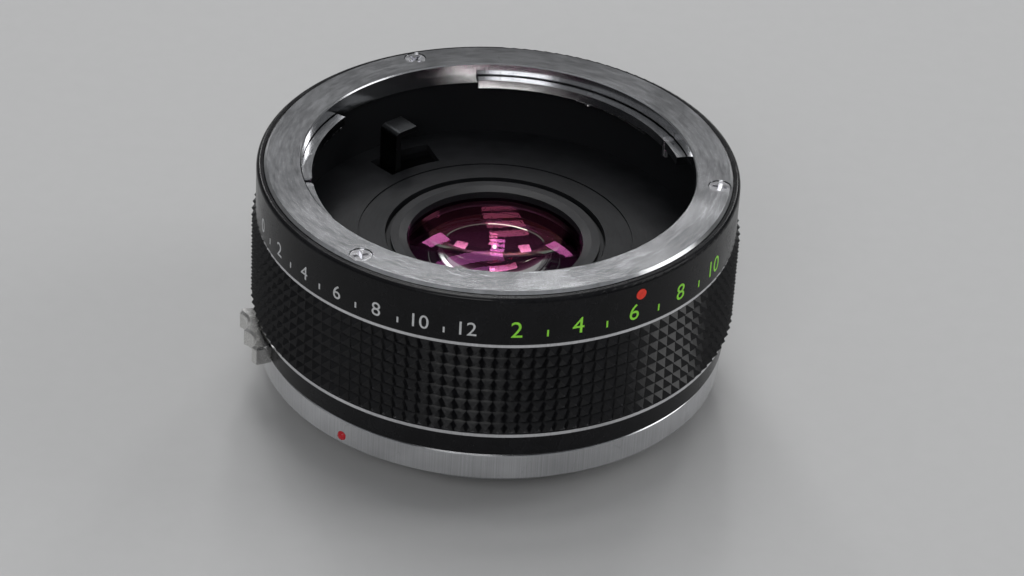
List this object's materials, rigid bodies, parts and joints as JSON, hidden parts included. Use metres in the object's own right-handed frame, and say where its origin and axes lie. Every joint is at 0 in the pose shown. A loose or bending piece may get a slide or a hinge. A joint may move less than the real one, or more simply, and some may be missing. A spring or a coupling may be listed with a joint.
{
  "type": "camera teleconverter",
  "caption": "Round black camera teleconverter with a knurled grip, bright bayonet mounts front and rear, a central lens, an aperture coupling and a thumb release lever.",
  "frame": {"origin": "on the optical axis, in the seat plane of the rear bayonet flange", "axes": "+Z along the optical axis, from the camera side to the lens side; -Y is the side seen in the picture, with the release lever to its left"},
  "size_m": [0.0652, 0.0642, 0.0337],
  "materials": {
    "satin_steel": "satin-turned bright steel",
    "trim_bright": "bright turned",
    "screw_steel": "polished steel",
    "spring_steel": "plain spring steel",
    "lever_chrome": "satin chrome",
    "black_barrel": "satin black anodised aluminium",
    "black_grip": "semi-gloss black, worn on the tips",
    "black_inner": "matt black, against reflections",
    "grey_bezel": "matt grey anodised",
    "cell_metal": "black anodised",
    "coated_glass": "polished, magenta and green coatings",
    "brass_ring": "turned brass",
    "lever_steel": "blackened steel",
    "dot_red": "gloss enamel fill",
    "bead_red": "gloss bead"
  },
  "bodies": {
    "barrel": {"front_mount_ring": "satin_steel", "front_mount_screws": "screw_steel", "bayonet_springs": "spring_steel", "spring_rivets": "screw_steel", "stop_pin": "screw_steel", "front_barrel": "black_barrel", "front_index_dot": "dot_red", "upper_trim_ring": "trim_bright", "grip_sleeve": "black_grip", "lower_trim_ring": "trim_bright", "rear_barrel": "black_barrel", "barrel_screws": "screw_steel", "rear_mount_ring": "satin_steel", "rear_mount_screws": "screw_steel", "rear_index_bead": "bead_red", "front_baffle": "black_inner", "lens_cell": "cell_metal", "front_lens_ring": "grey_bezel", "front_element": "coated_glass", "front_spacer": "cell_metal", "second_element": "coated_glass", "middle_spacer": "cell_metal", "third_element": "coated_glass", "rear_spacer": "cell_metal", "rear_element": "coated_glass", "rear_lens_ring": "cell_metal", "rear_shroud": "black_inner", "shroud_screws": "screw_steel", "coupling_clip": "spring_steel", "return_spring": "spring_steel", "lock_spring": "spring_steel"},
    "aperture_coupling": {"coupling_ring": "brass_ring", "front_aperture_lever": "lever_steel", "rear_aperture_lever": "lever_steel", "lever_screws": "screw_steel"},
    "release": {"release_lever": "lever_chrome"},
    "lock": {"lock_pin": "screw_steel"}
  },
  "joints": [
    {"name": "aperture_turn", "type": "hinge", "parent": "barrel", "child": "aperture_coupling", "pos_m": [0, 0, 0.0105], "axis": [0, 0, 1], "range_deg": [-15, 0], "stiffness_Nm_per_rad": 0.02, "springref_deg": 11.46, "deforming": ["return_spring"]},
    {"name": "release_turn", "type": "hinge", "parent": "barrel", "child": "release", "pos_m": [0, 0, 0.005], "axis": [0, 0, 1], "range_deg": [-8, 0], "stiffness_Nm_per_rad": 0.15, "springref_deg": 8.59},
    {"name": "lock_slide", "type": "slide", "parent": "barrel", "child": "lock", "axis": [0, 0, 1], "range_m": [-0.0023, 0], "deforming": ["lock_spring"]}
  ],
  "couplings": [
    {"joint": "lock_slide", "follows": "release_turn", "m_per_rad": 0.016472}
  ]
}
